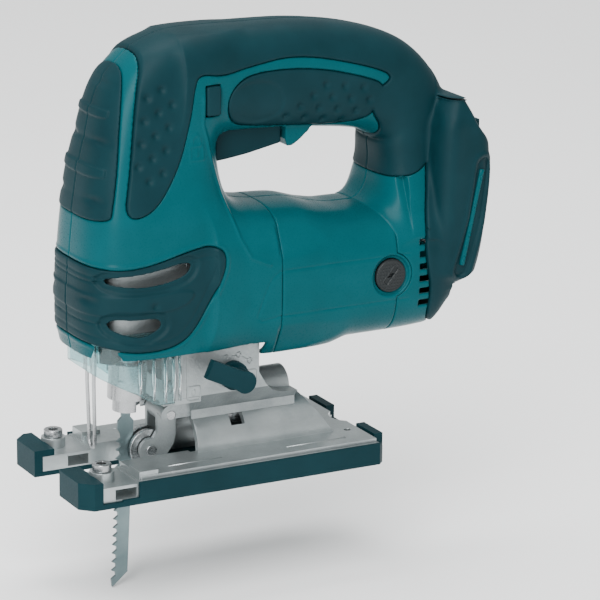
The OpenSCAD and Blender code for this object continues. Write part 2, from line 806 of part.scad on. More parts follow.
// ---- Roller retainer
module retainer_arm() {
    plate_in = roller_w / 2 + 0.7;
    color(CASTING)
        difference() {
            union() {
                both_sides() {
                    side_plate([[pivot[0] - 4.4, pivot[2]], [pivot[0] - 4.3, 20], [roller_x + 1, roller_z + 5.4],
                        [roller_x, roller_z - 5.4], [roller_x + 6.5, roller_z - 4.4], [pivot[0] + 3.6, roller_z + 1.6],
                        [pivot[0] + 4.6, 18], [pivot[0] + 4.4, pivot[2]]], [-arm_half, -plate_in]);
                    bar_y(5.4, [-arm_half, -plate_in], roller_x, roller_z);
                    bar_y(4.4, [-arm_half, -plate_in], pivot[0], pivot[2]);
                }
                bar_y(4.4, [-arm_half, arm_half], pivot[0], pivot[2]);
                side_plate([[pivot[0] + 2.6, 14], [pivot[0] + 4.4, 16], [pivot[0] + 4.4, pivot[2]],
                    [pivot[0] + 1, pivot[2]], [pivot[0] + 2.2, 20]], [-arm_half, arm_half]);
            }
            bar_y(axle_d / 2 + seam, [-20, 20], roller_x, roller_z);
            bar_y(2.2 + fit, [-20, 20], pivot[0], pivot[2]);
            bar_y(roller_d / 2 + 0.5, [-plate_in, plate_in], roller_x, roller_z);
        }
}

module retainer_pin() {
    color(STEEL)
        bar_y(2.2, [-lug_half, lug_half], pivot[0], pivot[2]);
}

module roller_axle() {
    color(STEEL) {
        bar_y(axle_d / 2, [-arm_half - 0.7, arm_half + 0.7], roller_x, roller_z);
    }
}

module guide_roller() {
    color(STEEL)
        difference() {
            bar_y(roller_d / 2, [-roller_w / 2, roller_w / 2], roller_x, roller_z);
            difference() {
                bar_y(roller_d, [-groove_w / 2, groove_w / 2], roller_x, roller_z);
                bar_y(groove_d / 2, [-groove_w, groove_w], roller_x, roller_z);
            }
            bar_y(axle_d / 2 + fit, [-10, 10], roller_x, roller_z);
        }
}

// ---- Controls
module change_lever() {
    arm = 19;
    color(GRIP)
        translate([lever[0], 0, lever[2]])
            rotate([0, lever_tilt, 0])
                difference() {
                    union() {
                        bar_y(5, [lever_y[0], -25.6]);
                        bar_y(6.4, [-25.7, -cast_half - 0.5]);
                        block([-arm, lever_y[0], -4.3], [0, lever_y[1], 4.3]);
                    }
                    bar_y(lever_d / 2, [-29, -20]);
                }
}

module lever_shaft() {
    color(STEEL) {
        bar_y(lever_d / 2, [-29, 20], lever[0], lever[2]);
        bar_y(lever_d / 2 + 2, [-6, 6], lever[0] - 1, lever[2]);
    }
}

trigger_low = 139.5;
trigger_top = 159;

module trigger() {
    color(GRIP)
        difference() {
            side_plate([[trigger_x[0], trigger_top], [trigger_x[0], trigger_low], [trigger_x[0] + 6, trigger_low + 0.6],
                [trigger_x[0] + 16, trigger_low + 2], [trigger_x[1], trigger_low + 5.4], [trigger_x[1], trigger_top]],
                [-trigger_w / 2, trigger_w / 2]);
            block([trigger_x[0] + 2.4, -trigger_w / 2 + 2, trigger_low + 8], [trigger_x[1] - 2.4, trigger_w / 2 - 2,
                trigger_top - 3]);
        }
}

switch_low = trigger_top + trigger_travel + 1.5;

module trigger_spring() {
    turns = 4;
    steps = 12;
    rise = (switch_low - trigger_top - 1.6) / turns;
    color(STEEL)
        tube([for (i = [0:turns * steps]) [28 + 3.2 * cos(i * 360 / steps), 3.2 * sin(i * 360 / steps),
            trigger_top + 0.8 + rise * i / steps]], 0.45, 6);
}

module lock_off_button() {
    left = -handle_w / 2 - button_travel - 1.1;
    color(GRIP)
        block([button[0] - button_w / 2, left, button[2] - button_h / 2],
            [button[0] + button_w / 2, handle_w / 2 + 1.2, button[2] + button_h / 2]);
}

module switch_unit() {
    color(BLACK) {
        block([7, -11, switch_low], [48, 11, 186]);
        block([48, -7, 170], [52, 7, 182]);
    }
}

module speed_controller() {
    color(CASTING) {
        block([104.5, -19, 97], [106, 19, 132]);
        for (i = [0:4])
            block([106, -16 + i * 7, 99], [113, -13 + i * 7, 130]);
    }
}

module battery_terminal() {
    color(BLACK)
        block([117.4, -15, 100], [121, 15, 146]);
    color(BRASS)
        for (y = [-10, 10])
            block([120.9, y - 0.6, 118], [127, y + 0.6, 138]);
}

module battery_rails() {
    rail = bay_w / 2 - 9;
    color(GRIP)
        both_sides() {
            block([118.1, -rail + 0.1, 86], [128, -rail + 3, 150]);
            block([125.4, -rail + 0.1, 86], [128, -rail + 6.4, 150]);
        }
}

module power_leads() {
    color(BLACK)
        both_sides() {
            tube([[105, 8, 133], [104, 8, 140], [101, 8, 152], [92, 8, 166], [78, 7, 175], [64, 5, 177], [53, 5, 177]], 1.3);
            tube([[105, 12, 96], [104, 12.4, 92], [100, 13.6, 96], [95.6, 15, 102], [90, 16.6, 105], [84, 18, 101],
                [81, 18.4, 92]], 1.1);
        }
}

module lamp() {
    color(WHITE) {
        bar_z(3.6, [62.6, 65.9], -47, 15.5);
        translate([-47, 15.5, 62.6])
            intersection() {
                sphere(3.6);
                block([-5, -5, -5], [5, 5, 0.01]);
            }
    }
}

cover_wall = 1.3;
cover_foot = 30;
cover_top = 82 - cover_travel;           // top edge of the dust cover when it is down
cover_low = [[-60, 54], [-49, 48.6], [-40, 44], [-33, 39.4], [-30, 38.3], [-23, 38.3]];

module dust_plan(inset) {
    r = 13.4 - inset;
    translate([0, 0, cover_foot])
        linear_extrude(cover_top - cover_foot) {
            for (side = [-1, 1])
                translate([chamber_front + 11, side * (chamber_half - 11)])
                    circle(r, $fn = FINE);
            translate([chamber_front + 11 - r, -chamber_half + 11])
                square([12, 2 * chamber_half - 22]);
            translate([chamber_front + 11, -chamber_half + 11 - r])
                square([cast_front - 1 - chamber_front - 11 + inset * 2, 2 * (chamber_half - 11 + r)]);
        }
}

module dust_cover() {
    color(CLEAR)
        difference() {
            dust_plan(0);
            dust_plan(cover_wall);
            side_plate(concat([[-80, 20], [-80, 58]], cover_low, [[-10, 38.3], [-10, 20]]), [-big, big]);
        }
}

module tool_opener() {
    reach = 20;
    ring = sleeve_d / 2 + 3;
    color(GRIP)
        translate([rod_x(62), 0, 0])
            rotate(215)
                difference() {
                    union() {
                        bar_z(ring + 3, [58, 65.4]);
                        block([ring, -3, 56], [reach, 3, 65.4]);
                    }
                    bar_z(ring, [50, 70]);
                    block([-30, -30, 50], [-4, 30, 70]);
                    block([-30, 7, 50], [30, 30, 70]);
                }
}

module wire_guard() {
    top = [-54 + 2.4, 3.8, chamber_z[0] - 0.1];
    low = [-51.2, 2.8, 18];
    color(STEEL)
        tube(concat(
            [top, [-51.9, 3.5, 45], low],
            [for (a = [30:30:150]) [low[0], low[1] * cos(a), low[2] - 2.8 * sin(a)]],
            [[low[0], -low[1], low[2]], [-51.9, -3.5, 45], [top[0], -top[1], top[2]]]), 0.85, 10);
}

module housing_screws() {
    color(STEEL) {
        for (p = screw_at) {
            bar_y(2, [-screw_reach, screw_reach + 0.1], p[0], p[1]);
            bar_y(3.4, [screw_reach, screw_reach + 3], p[0], p[1]);
        }
        for (y = [-17, 17], z = [43.5, 58]) {
            bar_x(2, [cast_front, -16.1], y, z);
            bar_x(3.2, [cast_front - 1.6, cast_front], y, z);
        }
    }
}

// ---- Base
side_in = base_w / 2 - 1.75;             // inner face of the cover's side wall
finger_y = (slot_w / 2 + base_w / 2) / 2;
rule_x = [-57, -57 + rule_w];
boss_x = -58.5;
finger_top = 9;
cap_x = base_front + 7;

module base_plate() {
    plate_back = base_back - 1.8;
    color(CASTING)
        difference() {
            union() {
                block([cap_x - 3, -side_in, sole_t], [-45, side_in, finger_top]);
                block([-46, -side_in, sole_t], [plate_back, side_in, cover_h - 0.4]);
                block([-44, -side_in + 1.3, sole_t], [plate_back - 1.3, side_in - 1.3, plate_h]);
                both_sides() {
                    bar_z(5.4, [sole_t, 13.4], boss_x, -finger_y);
                    block([-45, -side_in + 1.5, sole_t], [-36, -side_in + 12, 13.4]);
                }
                intersection() {
                    bar_x(saddle_r, [saddle_front, saddle_back], 0, tilt_z);
                    side_plate([[saddle_front, sole_t], [saddle_back, sole_t], [saddle_back, tilt_z - 1],
                        [seat_back + 3, saddle_top + 1], [saddle_front, saddle_top + 1]], [-big, big]);
                }
            }
            block([-big, -slot_w / 2, -1], [slot_end, slot_w / 2, 40]);
            // inside of the saddle
            bar_x(saddle_in, [slot_end - 1, saddle_back - 6], 0, tilt_z);
            block([slot_end - 1, -saddle_in, -1], [saddle_back - 6, saddle_in, tilt_z]);
            // arc slot of the base bolt
            block([bolt_x - bolt_d / 2 - 0.4, -saddle_in - 0.4, tilt_z + 8.2], [bolt_x + bolt_d / 2 + 0.4, saddle_in + 0.4, 40]);
            // hollows under the two sides, and the rear notch
            both_sides()
                for (x = [-32, 0, 36])
                    block([x, -side_in + 3, -1], [x + 22, -saddle_r - 1.5, plate_h - 3.5]);
            bar_z(9.5, [-1, 40], base_back + 2.5);
            both_sides() {
                bar_z(2.5 + seam, [5, 20], boss_x, -finger_y);
                block([rule_x[0], -big, 3], [rule_x[1], -slot_w / 2 + 1, 3 + rule_h]);
                bar_z(1.6, [-1, 20], 66, -19);
            }
        }
}

module cover_plate() {
    color(GRIP)
        difference() {
            union() {
                block([base_front, -base_w / 2, 0], [base_back, base_w / 2, sole_t - seam]);
                both_sides() {
                    block([rule_x[1] + 0.8, -base_w / 2, 0], [base_back, -side_in - seam, cover_h]);
                    block([rule_x[0] + 3, -base_w / 2, 0], [rule_x[1] + 1, -side_in - seam, 2.9]);
                    // front cap with its lip over the finger
                    block([base_front, -base_w / 2, 0], [cap_x - 3 - seam, -slot_w / 2, 12]);
                    block([cap_x - 4, -base_w / 2, finger_top + seam], [cap_x + 2.6, -slot_w / 2, 12]);
                    block([base_front, -base_w / 2, 0], [cap_x + 2.6, -side_in - seam, 12]);
                    // rear hook
                    block([base_back - 1.7, -31, 0], [base_back + 2.6, -14, 12]);
                }
                block([base_back - 1.7, -base_w / 2, 0], [base_back, base_w / 2, cover_h - 2]);
            }
            block([-big, -slot_w / 2, -1], [slot_end, slot_w / 2, 40]);
            // way for the hexagon key to the base bolt
            bar_z(6, [-1, 5], bolt_x);
            // corners cut off in plan
            both_sides() {
                translate([base_front, -base_w / 2, -1])
                    rotate(45)
                        cube([7.6, 7.6, 40], center = true);
                translate([base_back, -base_w / 2, -1])
                    rotate(45)
                        cube([4, 4, 40], center = true);
                bar_z(1.6, [-1, 20], 66, -19);
                bar_z(5.4 + seam, [5, 20], boss_x, -finger_y);
            }
        }
}

module rule_screws() {
    color(STEEL)
        both_sides()
            difference() {
                union() {
                    bar_z(4.2, [13.45, 16.8], boss_x, -finger_y);
                    bar_z(2.5, [8, 13.5], boss_x, -finger_y);
                }
                translate([boss_x, -finger_y, 14.4])
                    cylinder(r = 2.3, h = 5, $fn = 6);
            }
}

module base_bolt() {
    color(STEEL)
        difference() {
            union() {
                bar_z(5, [18.4, tilt_z + 11.1], bolt_x);
                bar_z(bolt_d / 2, [18.5, 36.4], bolt_x);
            }
            translate([bolt_x, 0, 17])
                cylinder(r = 2.9, h = 4.6, $fn = 6);
        }
}

module clamp_plate() {
    color(STEEL)
        difference() {
            intersection() {
                bar_x(saddle_in - 0.3, [bolt_x - 9, bolt_x + 9], 0, tilt_z);
                block([-big, -9, tilt_z], [big, 9, big]);
            }
            bar_x(12.3, [bolt_x - 10, bolt_x + 10], 0, tilt_z);
            bar_z(bolt_d / 2 + seam, [10, 40], bolt_x);
        }
}

module slide_nut() {
    color(STEEL)
        difference() {
            block([bolt_x - 5.5, -5.5, 32], [bolt_x + 5.5, 5.5, 36.5]);
            bar_z(bolt_d / 2 + seam, [30, 40], bolt_x);
        }
}

housing_left();
housing_right();
motor_housing();
grip_left();
grip_right();
window_frame_left();
window_frame_right();
gear_housing();
gear_cover();
field_magnet();
front_bearing();
rear_bearing();
brush_holders();
carbon_brushes();
brush_caps();
rotor_shaft();
armature_core();
commutator();
cooling_fan();
drive_pinion();
gear_spindle();
crank_gear();
crank_pin();
gear_bush();
counterweight();
slider_guide();
guide_bushes();
guide_pins();
slider_rod();
clamp_sleeve();
clamp_collar();
saw_blade();
retainer_arm();
retainer_pin();
roller_axle();
guide_roller();
change_lever();
lever_shaft();
trigger();
trigger_spring();
lock_off_button();
switch_unit();
speed_controller();
battery_terminal();
battery_rails();
power_leads();
lamp();
dust_cover();
tool_opener();
wire_guard();
housing_screws();
base_plate();
cover_plate();
rule_screws();
base_bolt();
clamp_plate();
slide_nut();
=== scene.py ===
import json
import math

import bmesh
import bpy
import numpy as np
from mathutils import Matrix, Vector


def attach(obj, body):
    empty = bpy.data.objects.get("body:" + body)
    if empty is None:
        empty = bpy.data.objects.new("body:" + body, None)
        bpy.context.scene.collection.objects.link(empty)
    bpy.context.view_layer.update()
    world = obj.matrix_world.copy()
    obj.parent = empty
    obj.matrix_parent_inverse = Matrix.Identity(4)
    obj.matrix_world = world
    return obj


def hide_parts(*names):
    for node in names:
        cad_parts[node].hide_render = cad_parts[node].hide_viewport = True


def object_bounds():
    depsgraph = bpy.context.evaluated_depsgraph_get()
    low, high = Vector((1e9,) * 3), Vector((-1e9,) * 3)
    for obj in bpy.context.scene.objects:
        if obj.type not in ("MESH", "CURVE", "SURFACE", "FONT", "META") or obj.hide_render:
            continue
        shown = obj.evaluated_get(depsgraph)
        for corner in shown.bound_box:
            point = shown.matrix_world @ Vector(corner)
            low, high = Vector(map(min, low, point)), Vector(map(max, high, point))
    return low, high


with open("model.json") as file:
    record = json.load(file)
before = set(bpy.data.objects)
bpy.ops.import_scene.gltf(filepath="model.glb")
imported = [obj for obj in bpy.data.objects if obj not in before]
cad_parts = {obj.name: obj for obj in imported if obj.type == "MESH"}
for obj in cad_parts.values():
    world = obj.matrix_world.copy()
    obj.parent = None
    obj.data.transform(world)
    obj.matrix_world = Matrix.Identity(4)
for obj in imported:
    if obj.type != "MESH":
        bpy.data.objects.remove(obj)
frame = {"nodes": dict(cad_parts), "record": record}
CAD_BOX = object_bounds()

import openvdb as vdb
from mathutils import Matrix, Vector

# Lengths in this script are millimetres in the CAD frame until a mesh is made
MM = 0.001
STEP = 0.5      # voxel of the moulded shells
BODY = "tool_body"

# ---------------------------------------------------------------- materials


def new_material(name):
    mat = bpy.data.materials.new(name)
    mat.use_nodes = True
    nodes = mat.node_tree.nodes
    return mat, nodes, mat.node_tree.links, nodes["Principled BSDF"]


def noise_at(mat, scale, detail=3.0, stretch=(1, 1, 1), roughness=0.5):
    nodes, links = mat.node_tree.nodes, mat.node_tree.links
    place = nodes.new("ShaderNodeTexCoord")
    mapping = nodes.new("ShaderNodeMapping")
    mapping.inputs["Scale"].default_value = stretch
    noise = nodes.new("ShaderNodeTexNoise")
    noise.inputs["Scale"].default_value = scale
    noise.inputs["Detail"].default_value = detail
    noise.inputs["Roughness"].default_value = roughness
    links.new(place.outputs["Object"], mapping.inputs["Vector"])
    links.new(mapping.outputs["Vector"], noise.inputs["Vector"])
    return noise


def ramp(mat, source, low, high, at=(0.3, 0.7)):
    nodes, links = mat.node_tree.nodes, mat.node_tree.links
    node = nodes.new("ShaderNodeValToRGB")
    node.color_ramp.elements[0].position = at[0]
    node.color_ramp.elements[1].position = at[1]
    node.color_ramp.elements[0].color = low if len(low) == 4 else (*low, 1)
    node.color_ramp.elements[1].color = high if len(high) == 4 else (*high, 1)
    links.new(source, node.inputs["Fac"])
    return node.outputs["Color"]


def bump(mat, shader, height, strength, distance):
    nodes, links = mat.node_tree.nodes, mat.node_tree.links
    node = nodes.new("ShaderNodeBump")
    node.inputs["Strength"].default_value = strength
    node.inputs["Distance"].default_value = distance
    links.new(height, node.inputs["Height"])
    links.new(node.outputs["Normal"], shader.inputs["Normal"])


def grey(v):
    return (v, v, v)


def surface(name, low, high, rough, grain, bump_size, metal=0.0, coat=0.0, patch=60.0,
            stretch=(1, 1, 1), strength=0.3, gloss=0.5):
    """Colour drifts between low and high, roughness follows fine grain, and the same grain gives the bump."""
    mat, nodes, links, shader = new_material(name)
    drift = noise_at(mat, patch, 4.0)
    links.new(ramp(mat, drift.outputs["Fac"], low, high), shader.inputs["Base Color"])
    fine = noise_at(mat, grain, 4.0, stretch)
    links.new(ramp(mat, fine.outputs["Fac"], grey(rough[0]), grey(rough[1])), shader.inputs["Roughness"])
    bump(mat, shader, fine.outputs["Fac"], strength, bump_size)
    shader.inputs["Metallic"].default_value = metal
    shader.inputs["Coat Weight"].default_value = coat
    shader.inputs["Coat Roughness"].default_value = 0.18
    shader.inputs["Specular IOR Level"].default_value = gloss
    return mat


TEAL = surface("teal_shell", (0.0, 0.052, 0.062), (0.0, 0.060, 0.072), (0.26, 0.31), 1500, 0.00003,
               strength=0.05, gloss=0.08)
GRIP = surface("soft_grip", (0.002, 0.018, 0.023), (0.003, 0.023, 0.029), (0.44, 0.56), 1800, 0.00006,
               strength=0.4, gloss=0.08)
BLACK = surface("black_plastic", (0.003, 0.005, 0.006), (0.005, 0.008, 0.009), (0.40, 0.55), 1400, 0.00006,
                gloss=0.3)
CASTING = surface("die_casting", (0.24, 0.265, 0.27), (0.34, 0.37, 0.375), (0.36, 0.56), 1100, 0.00022,
                  metal=0.8, patch=90, strength=0.7)
BASE_METAL = surface("base_casting", (0.30, 0.335, 0.34), (0.42, 0.455, 0.46), (0.28, 0.44), 900, 0.00014,
                     metal=0.85, patch=60, strength=0.5)
STEEL = surface("machined_steel", (0.30, 0.31, 0.315), (0.44, 0.45, 0.46), (0.22, 0.34), 700, 0.00002,
                metal=1.0, stretch=(1, 1, 12))
BLADE = surface("blade_steel", (0.13, 0.18, 0.19), (0.20, 0.26, 0.27), (0.28, 0.42), 600, 0.00004, metal=0.9,
                stretch=(10, 1, 1))
BRASS = surface("brass", (0.60, 0.40, 0.14), (0.78, 0.56, 0.24), (0.24, 0.36), 800, 0.00004, metal=1.0)
COPPER = surface("copper", (0.50, 0.20, 0.09), (0.72, 0.33, 0.17), (0.28, 0.42), 500, 0.0001, metal=1.0,
                 stretch=(1, 12, 12))


def clear_plastic(name, tint, rough):
    mat, nodes, links, shader = new_material(name)
    swirl = noise_at(mat, 140, 2.0)
    links.new(ramp(mat, swirl.outputs["Fac"], grey(rough), grey(rough + 0.05)), shader.inputs["Roughness"])
    paler = [min(1, c + 0.04) for c in tint]
    links.new(ramp(mat, swirl.outputs["Fac"], tint, paler), shader.inputs["Base Color"])
    bump(mat, shader, swirl.outputs["Fac"], 0.15, 0.0002)
    shader.inputs["Transmission Weight"].default_value = 0.96
    shader.inputs["IOR"].default_value = 1.46
    return mat


CLEAR = clear_plastic("clear_cover", (0.42, 0.66, 0.68), 0.02)
LENS = clear_plastic("lamp_lens", (0.9, 0.9, 0.86), 0.1)

SLOT_OF = {"teal": TEAL, "teal_motor": TEAL, "grip": GRIP, "black": BLACK, "casting": CASTING, "steel": STEEL,
           "brass": BRASS, "copper": COPPER, "clear": CLEAR, "white": LENS}
NODE_SLOT = {p["node"]: p["material_slot"] for p in frame["record"]["subparts"]}
NODE_BODY = {n: b for b, names in frame["record"]["behaviour"]["bodies"].items() for n in names}

# ---------------------------------------------------------------- pieces from CAD nodes


def dress(obj, mat):
    obj.data.materials.clear()
    obj.data.materials.append(mat)


def refine(node, edge=0.35, mat=None, segments=2, angle=28):
    """A copy of a CAD node with its edges broken, which stands for the node."""
    source = frame["nodes"][node]
    mesh = source.data.copy()
    obj = bpy.data.objects.new(node + "_piece", mesh)
    bpy.context.scene.collection.objects.link(obj)
    dress(obj, mat or SLOT_OF[NODE_SLOT[node]])
    bm = bmesh.new()
    bm.from_mesh(mesh)
    bmesh.ops.remove_doubles(bm, verts=bm.verts, dist=1e-6)
    bmesh.ops.dissolve_limit(bm, angle_limit=math.radians(1.5), verts=bm.verts, edges=bm.edges)
    for face in bm.faces:
        face.smooth = True
        face.material_index = 0
    sharp = math.radians(angle)
    for e in bm.edges:
        e.smooth = not (len(e.link_faces) == 2 and e.calc_face_angle(0) > sharp)
    bm.to_mesh(mesh)
    bm.free()
    bevel = obj.modifiers.new("edges", "BEVEL")
    bevel.width = edge * MM
    bevel.segments = segments
    bevel.limit_method = "ANGLE"
    bevel.angle_limit = sharp
    bevel.use_clamp_overlap = True
    bevel.harden_normals = False
    normals = obj.modifiers.new("normals", "WEIGHTED_NORMAL")
    normals.keep_sharp = False
    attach(obj, NODE_BODY[node])
    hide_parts(node)
    return obj


# ---------------------------------------------------------------- moulded shells as a volume

LOW = np.array([-68.0, -38.0, 54.0])
HIGH = np.array([136.0, 2.4, 205.0])
AXES = [np.arange(LOW[i], HIGH[i], STEP, dtype=np.float32) for i in range(3)]
X2, Z2 = np.meshgrid(AXES[0], AXES[2], indexing="ij")       # side view
Y3 = AXES[1][None, :, None]


def up3(plane):
    """A side-view map as a volume that is the same at every y."""
    return plane[:, None, :]


def curve_through(s, v, q):
    """Monotone cubic through (s, v), read at q."""
    d = np.diff(v) / np.diff(s)
    m = np.zeros_like(v)
    m[0], m[-1] = d[0], d[-1]
    same = d[1:] * d[:-1] > 0
    m[1:-1][same] = 2 * d[1:][same] * d[:-1][same] / (d[1:][same] + d[:-1][same])
    i = np.clip(np.searchsorted(s, q) - 1, 0, len(s) - 2)
    h = s[i + 1] - s[i]
    t = (q - s[i]) / h
    return ((2 * t**3 - 3 * t**2 + 1) * v[i] + (t**3 - 2 * t**2 + t) * h * m[i]
            + (3 * t**2 - 2 * t**3) * v[i + 1] + (t**3 - t**2) * h * m[i + 1])


def mass(rows, count=90):
    """Distance to a lofted mass. A row is [x, z, lean, depth, width, roundness], as in the CAD source."""
    rows = np.array(rows, float)
    s = np.concatenate([[0], np.cumsum(np.hypot(*np.diff(rows[:, :2], axis=0).T) + 1e-3)])
    q = np.linspace(0, s[-1], count)
    x, z, lean, depth, width, power = [curve_through(s, rows[:, j], q).astype(np.float32) for j in range(6)]
    lean = np.radians(lean)
    dx, dz = X2[None] - x[:, None, None], Z2[None] - z[:, None, None]
    sin, cos = np.sin(lean)[:, None, None], np.cos(lean)[:, None, None]
    along = dx * sin + dz * cos
    across = dx * cos - dz * sin
    cross = (along[:-1] >= 0) & (along[1:] < 0)
    cost = np.where(cross, np.abs(across[:-1]) / depth[:-1, None, None], 1e6)
    k = np.argmin(cost, axis=0)
    found = np.take_along_axis(cost, k[None], 0)[0] < 1e5
    before, after = -along[0], along[-1]
    beyond = np.where(before > 0, before, 1e6)
    end_k = np.zeros_like(k)
    use_last = (after > 0) & (after < beyond)
    beyond = np.where(use_last, after, beyond)
    end_k[use_last] = count - 1
    at = lambda a, kk: np.take_along_axis(a, kk[None], 0)[0]
    k2 = np.minimum(k + 1, count - 1)
    a0, a1 = at(along, k), at(along, k2)
    f = np.where(found, a0 / np.maximum(a0 - a1, 1e-6), 0)
    mix = lambda v: np.where(found, v[k] * (1 - f) + v[k2] * f, v[end_k])
    u = np.where(found, at(across, k) * (1 - f) + at(across, k2) * f, at(across, end_k))
    half_u, half_y, p = mix(depth) / 2, mix(width) / 2, mix(power)
    beyond = np.where(found, -1e6, beyond)
    au = np.maximum(np.abs(u) / half_u, 1e-4)
    p3, hy3, hu3 = up3(p), up3(half_y), up3(half_u)
    ay = np.maximum(np.abs(Y3) / hy3, 1e-4)
    au3 = up3(au)
    g = (au3**p3 + ay**p3) ** (1 / p3)
    slope = g ** (1 - p3) * np.sqrt((au3 ** (p3 - 1) / hu3) ** 2 + (ay ** (p3 - 1) / hy3) ** 2)
    field = (g - 1) / np.maximum(slope, 0.35 / np.minimum(hu3, hy3))
    return np.maximum(field, up3(beyond)).astype(np.float32)


def join(a, b, k):
    """Smooth union with a fillet of about k."""
    h = np.clip(0.5 + 0.5 * (b - a) / k, 0, 1)
    return b + (a - b) * h - k * h * (1 - h)


def meet(a, b, k):
    return -join(-a, -b, k)


def cut(a, b, k=0.4):
    return meet(a, -b, k)


def rounded(points, passes=3):
    """Corner cutting that turns a given outline into a smooth one."""
    p = np.array(points, float)
    for _ in range(passes):
        n = np.roll(p, -1, axis=0)
        p = np.stack([0.75 * p + 0.25 * n, 0.25 * p + 0.75 * n], axis=1).reshape(-1, 2)
    return p


def region(points, passes=3):
    """Signed distance, in the side view, to a closed outline: negative inside."""
    p = rounded(points, passes)
    best = np.full(X2.shape, 1e9, np.float32)
    inside = np.zeros(X2.shape, bool)
    for (ax, az), (bx, bz) in zip(p, np.roll(p, -1, axis=0)):
        ex, ez = bx - ax, bz - az
        length = max(ex * ex + ez * ez, 1e-9)
        t = np.clip(((X2 - ax) * ex + (Z2 - az) * ez) / length, 0, 1)
        best = np.minimum(best, (X2 - ax - t * ex) ** 2 + (Z2 - az - t * ez) ** 2)
        hit = ((az > Z2) != (bz > Z2))
        hit &= X2 < ex * (Z2 - az) / (bz - az if bz != az else 1e-9) + ax
        inside ^= hit
    return np.where(inside, -np.sqrt(best), np.sqrt(best)).astype(np.float32)


def line(points, closed=False):
    """Distance, in the side view, to a path."""
    best = np.full(X2.shape, 1e9, np.float32)
    pairs = list(zip(points[:-1], points[1:])) + ([(points[-1], points[0])] if closed else [])
    for (ax, az), (bx, bz) in pairs:
        ex, ez = bx - ax, bz - az
        t = np.clip(((X2 - ax) * ex + (Z2 - az) * ez) / max(ex * ex + ez * ez, 1e-9), 0, 1)
        best = np.minimum(best, (X2 - ax - t * ex) ** 2 + (Z2 - az - t * ez) ** 2)
    return np.sqrt(best)


def dip(distance, width, depth):
    """A smooth dip of that width and depth around distance 0."""
    return depth * np.exp(-(distance / (width / 2)) ** 2)


def dimples(points, width=2.8, depth=0.9):
    total = np.zeros(X2.shape, np.float32)
    for px, pz in points:
        total = np.maximum(total, dip(np.hypot(X2 - px, Z2 - pz), width, depth))
    return total


def box3(low, high):
    """Distance to a block."""
    d = [np.maximum(low[i] - AXES[i], AXES[i] - high[i]) for i in range(3)]
    return np.maximum(np.maximum(d[0][:, None, None], d[1][None, :, None]), d[2][None, None, :])


def mesh_of(name, field, mirror=False):
    grid = vdb.FloatGrid(1.0)
    grid.copyFromArray(np.ascontiguousarray(field, dtype=np.float32))
    points, quads = grid.convertToQuads(0.0)
    points = points.astype(float) * STEP + LOW
    if mirror:
        points[:, 1] *= -1
        quads = quads[:, ::-1]
    mesh = bpy.data.meshes.new(name)
    mesh.from_pydata((points * MM).tolist(), [], quads.tolist())
    mesh.update()
    mesh.polygons.foreach_set("use_smooth", np.ones(len(mesh.polygons), bool))
    obj = bpy.data.objects.new(name, mesh)
    bpy.context.scene.collection.objects.link(obj)
    return obj


def shell_piece(name, field, node, mat, mirror=False):
    obj = mesh_of(name, field, mirror)
    dress(obj, mat)
    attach(obj, BODY)
    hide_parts(node)


# Driving sizes, as in the CAD source
BODY_W, HANDLE_W, BAY_W = 62, 38, 68
MOTOR_X = (26, 84)
BRUSH = (80.7, 84.5)
WALL = 2.4               # thickness of the moulded shells
SKIN_DEPTH = 1.4         # how deep the soft skin lies in the shell
HALF_SEAM = 0.06         # half of the gap between the two shells
BODY_TOP = 198.5
FACET = 31.35            # where the flat faces along the motor lie
TRIGGER_WELL = ((3.6, -9.4, 145), (36.9, 5, 162))
BUTTON_WAY = ((-7.5, -60, 163.1), (0.3, 5, 176.9))
BAY_MOUTH = ((118, -25, 84), (200, 5, 168))
GEAR_BAY = ((-58.6, -26.5, 40), (20.1, 5, 69))
FOOT_CUT = ((-90, -60, 0), (20.5, 5, 60.9))
VENTS = {"count": 6, "first": 68.5, "step": 5.6, "height": 2.8}

NOSE = [
    [-23.6, 61.2, 0, 74.6, BODY_W - 2, 3.2], [-24, 68, 0, 76, BODY_W, 3.2],
    [-24.9, 100, 0, 73.6, BODY_W, 3.2],
    [-25.6, 118, 0, 69.4, BODY_W - 2, 3.2], [-26.8, 137, 0, 61.6, BODY_W - 8, 3.2],
    [-24.7, 160, 0, 55.4, BODY_W - 14, 3], [-20.8, 176, 0, 53.4, BODY_W - 18, 2.8],
    [-12.5, 190, 0, 47, BODY_W - 24, 2.6], [-4, 197.6, 0, 32, BODY_W - 40, 2.4], [0, 199.2, 0, 16, 8, 2.2]]
HANDLE = [
    [-14, 174.6, 90, 44, HANDLE_W + 4, 2.8], [12, 175.4, 90, 46.8, HANDLE_W + 2, 2.8],
    [36, 174.8, 90, 47.4, HANDLE_W, 2.8], [58, 172.8, 90, 47, HANDLE_W, 2.8],
    [74, 170.2, 92, 46, HANDLE_W, 2.8],
    [90, 164, 110, 44, HANDLE_W, 2.8], [101, 150, 150, 36, HANDLE_W + 2, 3],
    [102, 132, 180, 33, HANDLE_W + 6, 3],
    [101, 116, 180, 36, HANDLE_W + 14, 3], [99, 104, 180, 30, BODY_W - 8, 3]]
BAY = [
    [112, 76.5, 0, 12, BAY_W - 14, 4], [114.5, 83, 0, 21, BAY_W - 2, 5], [116.8, 105, 0, 25, BAY_W, 5],
    [117.8, 128, 0, 27, BAY_W, 5], [117.4, 148, 0, 24.6, BAY_W - 1, 5], [119, 161, 0, 17, BAY_W - 10, 4]]
FRONT_BARREL = [
    [-4, 92, 90, 66, BODY_W, 3.4], [14, 86.6, 90, 69.6, BODY_W + 0.6, 3.2],
    [26, 84.6, 90, 70, BODY_W + 1, 3.1]]
